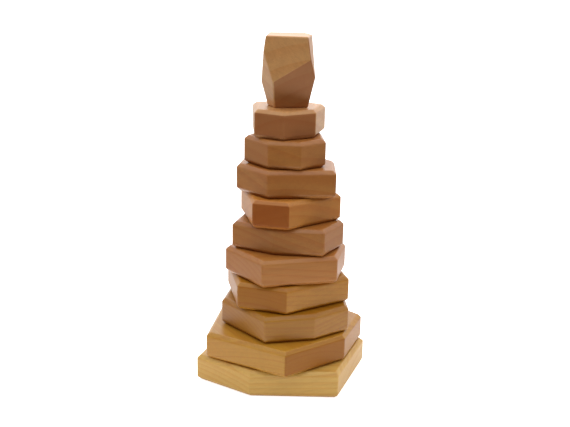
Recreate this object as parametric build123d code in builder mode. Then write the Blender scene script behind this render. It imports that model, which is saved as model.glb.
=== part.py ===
"""Giant tumbling tower: ten flat polygon blocks and one tall faceted block, all solid hardwood, stacked loose.

+Z is up. The origin is on the stacking axis, at the underside of the base block. X runs to the right and Y away
from someone who faces the tower. Sizes are in millimetres.
"""

import os
from math import cos, radians, sin

from build123d import *

PLANK = 40  # thickness of every flat block: all ten are sawn from the same planed plank
BEVEL = 5  # 45 degree bevel round the upper and lower face of a flat block
EASE = 3  # sanding radius on every edge of a flat block
POST_EASE = 2  # sanding radius on every edge of the top block

# Plan of each flat block in stacking order: its corners, anticlockwise from the left as seen from above. The
# outlines are irregular on purpose and are marked out on the plank to the nearest 5.
FLAT_BLOCKS = {
    "base_block": [(-125, -50), (-45, -100), (80, -100), (125, 20), (45, 105), (-70, 100)],
    "block_02": [(-110, -60), (5, -120), (90, -60), (120, 20), (50, 85), (-90, 80)],
    "block_03": [(-90, -25), (-25, -95), (45, -80), (95, -45), (85, 65), (-70, 85)],
    "block_04": [(-85, 30), (-65, -65), (5, -85), (95, -30), (65, 85)],
    "block_05": [(-85, -20), (-30, -85), (75, -60), (90, 5), (45, 80), (-40, 70)],
    "block_06": [(-75, -30), (-15, -60), (55, -65), (85, -15), (45, 70), (-50, 60)],
    "block_07": [(-65, 20), (-45, -60), (5, -70), (80, -15), (30, 70)],
    "block_08": [(-70, -10), (-25, -55), (70, -45), (70, 20), (20, 70), (-60, 50)],
    "block_09": [(-60, -5), (-25, -45), (20, -50), (55, -25), (50, 35), (-25, 55)],
    "block_10": [(-50, 40), (-45, -25), (-5, -45), (40, -20), (55, 30), (10, 60)],
}

# The top block is a short post with nine sawn facets. Heights are above its foot.
TOP_HEIGHT = 100
POST_SIDE = 90  # square post that the facets are sawn from
WAIST = 38  # height of the knuckle, the corner where the two front facets meet the left undercut
KNUCKLE = (-20, -30, WAIST)
# Each facet is a point on it, its bearing and its lean. Bearing: the way it faces, in degrees round from the front
# towards the right. Lean: how far it faces up, in degrees, or down if negative.
TOP_FACETS = [
    (KNUCKLE, -7, 0),  # front, upright
    (KNUCKLE, 10, -25),  # front, undercut below a slanting edge
    (KNUCKLE, -65, -15),  # left, undercut
    ((-33, -30, 85), -95, 8),  # left, leaning in towards the top
    ((-37, 10, 35), -105, -15),  # left, undercut towards the back
    ((26, -35, 100), 80, 9),  # right, leaning in towards the top
    ((37, -20, 40), 110, -2),  # right, turned towards the back
    ((0, 33, WAIST), 180, 10),  # back, leaning in towards the top
    ((0, 33, WAIST), 175, -10),  # back, undercut
]


def facing(bearing, lean):
    """The unit vector that a facet faces along."""
    turn, rise = radians(bearing), radians(lean)
    return (sin(turn) * cos(rise), -cos(turn) * cos(rise), sin(rise))


def flat_block(level, corners):
    """A polygon sawn from the plank, at its level in the stack, bevelled above and below and sanded."""
    with BuildPart() as block:
        with BuildSketch(Plane.XY.offset(level * PLANK)):
            Polygon(*corners, align=None)
        extrude(amount=PLANK)
        chamfer(block.faces().filter_by(Axis.Z).edges(), BEVEL)
        fillet(block.edges(), EASE)
    return block.part


def faceted_block(foot_level):
    """The tall block on top: a square post with its sides sawn to facets, then sanded."""
    with BuildPart() as block:
        with BuildSketch(Plane.XY.offset(foot_level)):
            Rectangle(POST_SIDE, POST_SIDE)
        extrude(amount=TOP_HEIGHT)
        for (x, y, height), bearing, lean in TOP_FACETS:
            facet = Plane(origin=(x, y, foot_level + height), z_dir=facing(bearing, lean))
            split(bisect_by=facet, keep=Keep.BOTTOM)
        fillet(block.edges(), POST_EASE)
    return block.part


pieces = {name: flat_block(level, corners) for level, (name, corners) in enumerate(FLAT_BLOCKS.items())}
pieces["top_block"] = faceted_block(len(FLAT_BLOCKS) * PLANK)

os.makedirs("parts", exist_ok=True)
for name, piece in pieces.items():
    piece.label = name
    export_step(piece, f"parts/{name}.step")
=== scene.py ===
"""Looks of the giant tumbling tower: oiled hardwood on every block, a white studio and the camera.

Everything is in metres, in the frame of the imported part. Each block gets its own piece of timber: a solid
pattern of growth rings, fibres and pores, cut from its own place in a log, so the grain runs through from
face to face.
"""

import math
from collections import namedtuple

import bpy
from mathutils import Matrix, Vector


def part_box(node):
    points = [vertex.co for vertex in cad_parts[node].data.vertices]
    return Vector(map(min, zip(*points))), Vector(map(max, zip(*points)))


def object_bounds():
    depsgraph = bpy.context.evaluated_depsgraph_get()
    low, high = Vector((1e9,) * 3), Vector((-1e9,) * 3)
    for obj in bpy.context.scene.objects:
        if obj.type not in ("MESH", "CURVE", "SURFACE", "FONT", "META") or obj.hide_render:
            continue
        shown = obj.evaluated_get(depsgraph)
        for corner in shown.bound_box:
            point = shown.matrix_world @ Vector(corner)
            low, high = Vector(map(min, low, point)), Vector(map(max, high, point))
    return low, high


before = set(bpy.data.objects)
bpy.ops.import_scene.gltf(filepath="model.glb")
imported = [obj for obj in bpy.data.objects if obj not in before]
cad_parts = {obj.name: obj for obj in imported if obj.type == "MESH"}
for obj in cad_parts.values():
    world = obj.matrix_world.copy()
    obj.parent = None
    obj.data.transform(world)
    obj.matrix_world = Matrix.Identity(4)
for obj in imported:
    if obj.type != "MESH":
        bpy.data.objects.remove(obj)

CAD_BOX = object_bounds()

# ---------------------------------------------------------------------------------------------------------
# Timber: the tone of each board and how each block was sawn from its log
# ---------------------------------------------------------------------------------------------------------

# Tones of the oiled boards, along the grain
STRAW = (0.50, 0.30, 0.07)
HONEY = (0.39, 0.19, 0.02)
CARAMEL = (0.35, 0.14, 0.03)
AMBER = (0.35, 0.15, 0.01)
RUSSET = (0.42, 0.17, 0.03)
BLOND = (0.52, 0.27, 0.10)

# tone and shade: the board's tone, and how light it is beside others of that tone
# end: how much its end grain darkens, 0 to 1
# grain and lean: azimuth of the log's axis from +X, and its rise out of the level, in degrees
# pith: how far the log's centre lies beside and below the block, in metres
# ring: mean width of a growth ring, in metres
Cut = namedtuple("Cut", "tone shade end grain lean pith ring")

CUTS = {
    "base_block": Cut(STRAW, 1.0, 0.1, 5, 8, (0.01, 0.13), 0.0065),
    "block_02": Cut(HONEY, 1.0, 0.6, -62, 1, (0.02, 0.16), 0.0045),
    "block_03": Cut(AMBER, 0.9, 0.1, 12, 2, (-0.02, 0.15), 0.0035),
    "block_04": Cut(AMBER, 1.05, 0.4, 48, 1, (0.02, 0.17), 0.0035),
    "block_05": Cut(CARAMEL, 1.05, 0.1, 10, 1, (-0.01, 0.15), 0.0035),
    "block_06": Cut(CARAMEL, 0.95, 0.1, 14, -2, (0.02, 0.14), 0.0035),
    "block_07": Cut(RUSSET, 1.05, 0.7, 76, 2, (0.03, 0.12), 0.0035),
    "block_08": Cut(CARAMEL, 1.0, 0.1, -30, 6, (0.01, 0.11), 0.0040),
    "block_09": Cut(CARAMEL, 1.0, 0.1, 6, 3, (0.02, 0.13), 0.0035),
    "block_10": Cut(BLOND, 0.95, 0.7, 88, 3, (0.01, 0.12), 0.0035),
    "top_block": Cut(BLOND, 1.05, 0.7, 144, 30, (0.07, 0.09), 0.0030),
}
LATE_WOOD = (0.90, 0.73, 0.56)  # colour of the dark line that ends each ring, as a share of the board's
FLUSH = (1.01, 0.93, 0.88)  # warmer patches
END_GRAIN = (0.45, 0.20, 0.10)  # darker, redder
WORN_AND_HIGHLIGHT = (1.25, 1.40, 1.90)  # rubbed edges, lighter and paler: partly wear, partly a painted highlight
GAP_SHADE = (0.80, 0.25, 0.06)  # painted shade: darker and redder colour in the gaps where two blocks meet

# How a growth ring is drawn
LATE_START = 0.30  # where its dark line begins, and where it is darkest, as shares of its width
LATE_PEAK = 0.93
UNEVENNESS = 1.6  # how many rings' widths the spacing strays by
RING_STRETCH = (0.06, 1.0, 1.0)  # the rings close slowly along the log

# Finish: how rough and how shiny
ROUGH_BETWEEN = 0.44  # between the fibres
ROUGH_ON = 0.36  # on the fibres
SPECULAR = 0.32
SPECULAR_DULL = 0.05  # in the painted shade of the gaps between blocks, and on end grain
COAT = 0.10

# Sizes in metres
LOG_STEP = 1.37  # between the blocks' places along the log, so that no two share a pattern
RING_DRIFT = 0.009  # how far the growth rings wander
SOFT_EDGE = 0.0035  # how far an edge's rounding reaches in the shading
GAP_SHADE_REACH = 0.0025  # how far the painted shade reaches out of a gap between blocks
FIBRE_RELIEF = 0.00015
PLANER_RELIEF = 0.0006

# How often each pattern repeats in a metre: along the grain, then across it both ways
WANDER = (2.5, 9.0, 9.0)
FIBRES = (16.0, 800.0, 800.0)
STREAKS = (3.0, 240.0, 240.0)
PATCHES = (4.0, 14.0, 14.0)
PORES = (170.0, 1400.0, 1400.0)
RUBBING = (60.0, 60.0, 60.0)
PLANER_WAVES = (28.0, 45.0, 45.0)


class Graph:
    """Short ways to add and join the nodes of one node tree."""

    def __init__(self, tree):
        self.tree = tree
        self.tree.nodes.clear()

    def add(self, kind, **settings):
        node = self.tree.nodes.new(kind)
        for name, value in settings.items():
            setattr(node, name, value)
        return node

    def feed(self, socket, value):
        """Links an output to the socket, or sets the socket to a constant."""
        if isinstance(value, bpy.types.NodeSocket):
            self.tree.links.new(value, socket)
        else:
            socket.default_value = value

    def maths(self, operation, *values, clamp=False):
        node = self.add("ShaderNodeMath", operation=operation, use_clamp=clamp)
        for socket, value in zip(node.inputs, values):
            self.feed(socket, value)
        return node.outputs[0]

    def vector(self, operation, *values):
        node = self.add("ShaderNodeVectorMath", operation=operation)
        for socket, value in zip(node.inputs, values):
            self.feed(socket, value)
        return node.outputs["Value" if operation in ("LENGTH", "DOT_PRODUCT") else "Vector"]

    def span(self, value, low, high, to_low=0.0, to_high=1.0, smooth=False):
        """Maps low..high to to_low..to_high, held at both ends."""
        node = self.add("ShaderNodeMapRange", interpolation_type="SMOOTHSTEP" if smooth else "LINEAR")
        for name, entry in (("Value", value), ("From Min", low), ("From Max", high),
                            ("To Min", to_low), ("To Max", to_high)):
            self.feed(node.inputs[name], entry)
        return node.outputs["Result"]

    def noise(self, where, scale, detail=2.0, rough=0.5, dimensions="3D"):
        node = self.add("ShaderNodeTexNoise", noise_dimensions=dimensions)
        self.feed(node.inputs["W" if dimensions == "1D" else "Vector"], where)
        self.feed(node.inputs["Scale"], scale)
        self.feed(node.inputs["Detail"], detail)
        self.feed(node.inputs["Roughness"], rough)
        return node.outputs[0]

    def blend(self, factor, first, second, how="MIX"):
        """Mixes two colours."""
        node = self.add("ShaderNodeMix", data_type="RGBA", blend_type=how)
        self.feed(node.inputs["Factor"], factor)
        self.feed(node.inputs["A"], first)
        self.feed(node.inputs["B"], second)
        return node.outputs["Result"]


def tinted(colour, share=(1.0, 1.0, 1.0)):
    """The colour with each channel scaled, opaque."""
    return (*(c * k for c, k in zip(colour, share)), 1.0)


def log_place(graph, cut, centre, seed):
    """Where a point lies in its log, X along the grain and Y and Z across it, and the surface's normal."""
    coords = graph.add("ShaderNodeTexCoord")
    turn = graph.add("ShaderNodeMapping", vector_type="TEXTURE")
    graph.feed(turn.inputs["Vector"], coords.outputs["Object"])
    turn.inputs["Location"].default_value = centre
    turn.inputs["Rotation"].default_value = (0.0, -math.radians(cut.lean), math.radians(cut.grain))
    in_log = graph.vector("ADD", turn.outputs["Vector"], (seed * LOG_STEP, cut.pith[0], cut.pith[1]))
    return in_log, coords.outputs["Normal"]


def growth_rings(g, place, cut):
    """The place bent as the log grew, and how much of a ring's dark late line there is at each point."""
    # The log is not a perfect cone: its rings wander slowly along and across the grain.
    wander = g.add("ShaderNodeTexNoise")
    g.feed(wander.inputs["Vector"], g.vector("MULTIPLY", place, WANDER))
    wander.inputs["Scale"].default_value = 1.0
    wander.inputs["Detail"].default_value = 2.0
    drift = g.vector("SUBTRACT", wander.outputs["Color"], (0.5, 0.5, 0.5))
    bent = g.vector("ADD", place, g.vector("MULTIPLY", drift, (0.0, RING_DRIFT, RING_DRIFT)))

    radius = g.vector("LENGTH", g.vector("MULTIPLY", bent, RING_STRETCH))
    rings = g.maths("DIVIDE", radius, cut.ring)
    uneven = g.noise(rings, 0.35, 2.0, 0.6, "1D")
    rings = g.maths("ADD", rings, g.maths("MULTIPLY", uneven, UNEVENNESS))
    part = g.maths("FRACT", rings)
    rising = g.span(part, LATE_START, LATE_PEAK, smooth=True)
    late = g.maths("MULTIPLY", rising, g.span(part, LATE_PEAK, 1.0, 1.0, 0.0))
    strength = g.span(g.noise(g.maths("ADD", rings, 40.0), 0.9, 1.0, 0.5, "1D"), 0.3, 0.7, 0.35, 1.0)
    return bent, g.maths("MULTIPLY", late, strength)


def pores_in(g, bent):
    """1 in a pore and 0 between them: short dark flecks along the grain."""
    cells = g.add("ShaderNodeTexVoronoi", feature="F1")
    g.feed(cells.inputs["Vector"], g.vector("MULTIPLY", bent, PORES))
    cells.inputs["Scale"].default_value = 1.0
    return g.span(cells.outputs["Distance"], 0.10, 0.30, 1.0, 0.0)


def facing_the_grain(g, normal, cut):
    """How squarely a surface is cut across the grain: 0 along it, 1 on full end grain."""
    round_z = Matrix.Rotation(math.radians(cut.grain), 3, "Z")
    out_of_level = Matrix.Rotation(-math.radians(cut.lean), 3, "Y")
    log_axis = round_z @ out_of_level @ Vector((1.0, 0.0, 0.0))
    return g.maths("ABSOLUTE", g.vector("DOT_PRODUCT", normal, tuple(log_axis)))


def rubbed_and_highlit_edges(g, place):
    """The normal rounded over the edges, and how much each edge is lightened, partly by rubbing and partly
    as a painted highlight, more here than there.
    """
    soft = g.add("ShaderNodeBevel", samples=6)
    soft.inputs["Radius"].default_value = SOFT_EDGE
    geometry = g.add("ShaderNodeNewGeometry")
    edge = g.vector("DOT_PRODUCT", soft.outputs["Normal"], geometry.outputs["Normal"])
    edge = g.span(edge, 1.0, 0.90)
    rub = g.noise(g.vector("MULTIPLY", place, RUBBING), 1.0, 3.0, 0.6)
    return soft.outputs["Normal"], g.maths("MULTIPLY", edge, g.span(rub, 0.35, 0.65, 0.35, 1.0))


def painted_gap_shade(g):
    """Painted shade: 1 deep in the gap between two blocks, 0 in the open."""
    open_air = g.add("ShaderNodeAmbientOcclusion", samples=8)
    open_air.inputs["Distance"].default_value = GAP_SHADE_REACH
    return g.span(open_air.outputs["AO"], 0.05, 0.45, 0.9, 0.0)


def bumped(g, height, normal, strength, distance):
    """The normal with a relief on it."""
    bump = g.add("ShaderNodeBump")
    bump.inputs["Strength"].default_value = strength
    bump.inputs["Distance"].default_value = distance
    g.feed(bump.inputs["Height"], height)
    g.feed(bump.inputs["Normal"], normal)
    return bump.outputs["Normal"]


def timber(name, cut, centre, seed):
    """Oiled hardwood cut from one place in a log."""
    material = bpy.data.materials.new(name + "_timber")
    material.use_nodes = True
    g = Graph(material.node_tree)
    place, normal = log_place(g, cut, centre, seed)
    bent, late = growth_rings(g, place, cut)
    fibres = g.noise(g.vector("MULTIPLY", bent, FIBRES), 1.0, 3.0, 0.6)
    streaks = g.noise(g.vector("MULTIPLY", bent, STREAKS), 1.0, 3.0, 0.6)
    patches = g.noise(g.vector("MULTIPLY", place, PATCHES), 1.0, 2.0, 0.5)
    pore = pores_in(g, bent)
    across = facing_the_grain(g, normal, cut)
    soft_normal, worn_and_highlit = rubbed_and_highlit_edges(g, place)
    gap_shade = painted_gap_shade(g)

    # End grain drinks more oil: it is darker, redder and duller than the sides of the grain.
    end = g.maths("MULTIPLY", g.span(across, 0.55, 0.87, smooth=True), cut.end)

    board = [channel * cut.shade for channel in cut.tone]
    colour = g.blend(g.span(patches, 0.35, 0.68, 0.0, 0.9), tinted(board), tinted(board, FLUSH))
    faint = g.span(end, 0.0, 1.0, 0.85, 0.25)
    colour = g.blend(g.maths("MULTIPLY", late, faint), colour, tinted(board, LATE_WOOD))
    figure = g.span(streaks, 0.30, 0.70, 0.92, 1.07)
    figure = g.maths("MULTIPLY", figure, g.span(fibres, 0.25, 0.75, 0.93, 1.06))
    figure = g.maths("MULTIPLY", figure, g.maths("SUBTRACT", 1.0, g.maths("MULTIPLY", pore, 0.14)))
    # The streaks and fibres are cut short on end grain, so they show less there.
    plain = g.span(across, 0.4, 0.8, 0.0, 0.75)
    figure = g.maths("ADD", figure, g.maths("MULTIPLY", plain, g.maths("SUBTRACT", 1.0, figure)))
    lit = g.vector("SCALE", colour)
    g.feed(lit.node.inputs["Scale"], figure)
    colour = g.blend(end, lit, tinted(END_GRAIN), "MULTIPLY")
    # The edges are lightened and paled: partly rubbing wear, partly a painted highlight.
    colour = g.blend(g.maths("MULTIPLY", worn_and_highlit, 0.45), colour, tinted(board, WORN_AND_HIGHLIGHT))
    # Painted shade: the colour is darkened and reddened in the gaps between blocks.
    colour = g.blend(gap_shade, colour, tinted(GAP_SHADE), "MULTIPLY")

    rough = g.span(fibres, 0.25, 0.75, ROUGH_BETWEEN, ROUGH_ON)
    rough = g.maths("ADD", rough, g.maths("MULTIPLY", end, 0.08))
    rough = g.maths("SUBTRACT", rough, g.maths("MULTIPLY", worn_and_highlit, 0.06))

    # Two reliefs: raised fibres with sunk pores, and the long low waves that the planer leaves.
    height = g.maths("ADD", g.maths("MULTIPLY", fibres, 0.5), g.maths("MULTIPLY", late, 0.35))
    height = g.maths("SUBTRACT", height, g.maths("MULTIPLY", pore, 0.35))
    fine = bumped(g, height, soft_normal, 0.30, FIBRE_RELIEF)
    waves = g.noise(g.vector("MULTIPLY", place, PLANER_WAVES), 1.0, 1.0, 0.4)
    relief = bumped(g, waves, fine, 0.5, PLANER_RELIEF)

    shader = g.add("ShaderNodeBsdfPrincipled")
    g.feed(shader.inputs["Base Color"], colour)
    g.feed(shader.inputs["Roughness"], rough)
    g.feed(shader.inputs["Normal"], relief)
    # The reflection and coat are dulled in the painted shade of the gaps, as on end grain.
    dull = g.maths("MAXIMUM", gap_shade, g.maths("MULTIPLY", end, 0.9))
    g.feed(shader.inputs["Specular IOR Level"], g.span(dull, 0.0, 1.0, SPECULAR, SPECULAR_DULL))
    g.feed(shader.inputs["Coat Weight"], g.span(dull, 0.0, 1.0, COAT, 0.0))
    shader.inputs["IOR"].default_value = 1.5
    shader.inputs["Coat Roughness"].default_value = 0.30
    output = g.add("ShaderNodeOutputMaterial")
    g.feed(output.inputs["Surface"], shader.outputs["BSDF"])
    return material


for seed, (name, cut) in enumerate(CUTS.items()):
    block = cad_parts[name]
    low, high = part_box(name)
    wood = timber(name, cut, (low + high) / 2, seed + 1)
    for slot in block.material_slots:
        slot.material = wood

# ---------------------------------------------------------------------------------------------------------
# Studio
# ---------------------------------------------------------------------------------------------------------

TABLE_INNER = 0.17  # radii of the light table that lights the tower from below
TABLE_OUTER = 0.50
TABLE_GLOW = 0.7
SHEET_GLOW = 0.2  # the sheet inside the light table
LIGHTS_BELOW = 0.0004  # how far the sheet and the table lie below the tower's foot
FLOOR = 40.0  # radius of the floor
FLOOR_BELOW = 0.0002
FLOOR_GLOW = 0.75
GLOW_WIDTH = 3.0  # how sharply a glow falls off: about 40 degrees to half strength
# Each glow is a broad soft light: its azimuth in degrees, 0 in front of the tower and 90 to its right, its
# height in degrees above the level, and its strength.
GLOWS = {
    "overhead": (0, 85, 1.8),
    "back_high": (180, 45, 0.4),
    "back_low": (180, 8, 1.6),
    "left_wing": (-100, 15, 0.65),
    "right_wing": (100, 15, 0.7),
}
SURROUND = 1.05  # brightness of the white that the camera sees behind the tower
BOX_PLACE = (0.0, -0.40, 1.00)
BOX_AIM = (0.0, 0.0, 0.38)
BOX_SIZE = (0.5, 0.4)
BOX_POWER = 0.6  # watts


def white_ring(name, inner, outer, below, glow):
    """A level white ring, or a disc if inner is 0, a little below the tower's foot."""
    mesh = bpy.data.meshes.new(name)
    steps = 96
    rim = [(math.cos(math.tau * i / steps), math.sin(math.tau * i / steps), 0.0) for i in range(steps)]
    points = [Vector(point) * outer for point in rim]
    faces = [range(steps)]
    if inner:
        points += [Vector(point) * inner for point in rim]
        faces = [(i, (i + 1) % steps, steps + (i + 1) % steps, steps + i) for i in range(steps)]
    mesh.from_pydata(points, [], faces)
    ring = bpy.data.objects.new(name, mesh)
    bpy.context.scene.collection.objects.link(ring)
    ring.location.z = CAD_BOX[0][2] - below
    white = bpy.data.materials.new(name + "_white")
    white.use_nodes = True
    shader = white.node_tree.nodes["Principled BSDF"]
    shader.inputs["Base Color"].default_value = (0.90, 0.90, 0.90, 1.0)
    shader.inputs["Roughness"].default_value = 0.9
    shader.inputs["Emission Color"].default_value = (1.0, 1.0, 1.0, 1.0)
    shader.inputs["Emission Strength"].default_value = glow
    mesh.materials.append(white)
    return ring


def white_room():
    """Soft light from the glows on every side, and plain white to the camera."""
    world = bpy.data.worlds.new("white_room")
    bpy.context.scene.world = world
    world.use_nodes = True
    g = Graph(world.node_tree)
    direction = g.add("ShaderNodeTexCoord").outputs["Generated"]
    total = 0.0
    for azimuth, height, strength in GLOWS.values():
        side, rise = math.radians(azimuth), math.radians(height)
        centre = (math.sin(side) * math.cos(rise), -math.cos(side) * math.cos(rise), math.sin(rise))
        nearness = g.maths("SUBTRACT", g.vector("DOT_PRODUCT", direction, centre), 1.0)
        lobe = g.maths("EXPONENT", g.maths("MULTIPLY", nearness, GLOW_WIDTH))
        total = g.maths("ADD", total, g.maths("MULTIPLY", lobe, strength))
    seen = g.add("ShaderNodeLightPath").outputs["Is Camera Ray"]
    light = g.add("ShaderNodeBackground")
    light.inputs["Color"].default_value = (1.0, 1.0, 1.0, 1.0)
    g.feed(light.inputs["Strength"], g.maths("MAXIMUM", total, g.maths("MULTIPLY", seen, SURROUND)))
    output = g.add("ShaderNodeOutputWorld")
    g.feed(output.inputs["Surface"], light.outputs["Background"])


def softbox():
    """A soft lamp above and in front of the tower."""
    lamp = bpy.data.lights.new("softbox", "AREA")
    lamp.shape = "RECTANGLE"
    lamp.size, lamp.size_y = BOX_SIZE
    lamp.energy = BOX_POWER
    box = bpy.data.objects.new("softbox", lamp)
    box.location = BOX_PLACE
    box.rotation_euler = (Vector(BOX_AIM) - Vector(BOX_PLACE)).to_track_quat("-Z", "Y").to_euler()
    bpy.context.scene.collection.objects.link(box)


# The light table and the sheet inside it only give light; the floor is what the camera sees and gives none.
sheet = white_ring("white_sheet", 0.0, TABLE_INNER, LIGHTS_BELOW, SHEET_GLOW)
table = white_ring("light_table", TABLE_INNER, TABLE_OUTER, LIGHTS_BELOW, TABLE_GLOW)
for lighting in (sheet, table):
    lighting.visible_camera = False
floor = white_ring("white_floor", 0.0, FLOOR, FLOOR_BELOW, FLOOR_GLOW)
floor.visible_diffuse = False
floor.visible_glossy = False
floor.visible_shadow = False
white_room()
softbox()

# ---------------------------------------------------------------------------------------------------------
# Camera
# ---------------------------------------------------------------------------------------------------------

CAMERA_BACK = 1.190  # in front of the stacking axis
CAMERA_HEIGHT = 0.617
CAMERA_DIP = math.radians(17.41)  # below the level
CAMERA_ROLL = math.radians(1.19)
SENSOR = 36.0  # millimetres
LENS = 54.35  # millimetres


def photo_camera():
    data = bpy.data.cameras.new("photo_camera")
    data.sensor_width = SENSOR
    data.lens = LENS
    camera = bpy.data.objects.new("photo_camera", data)
    level = Matrix.Rotation(math.radians(90) - CAMERA_DIP, 4, "X")
    roll = Matrix.Rotation(CAMERA_ROLL, 4, "Z")
    camera.matrix_world = Matrix.Translation((0.0, -CAMERA_BACK, CAMERA_HEIGHT)) @ level @ roll
    bpy.context.scene.collection.objects.link(camera)
    bpy.context.scene.camera = camera


photo_camera()
bpy.context.scene.view_settings.view_transform = "Standard"
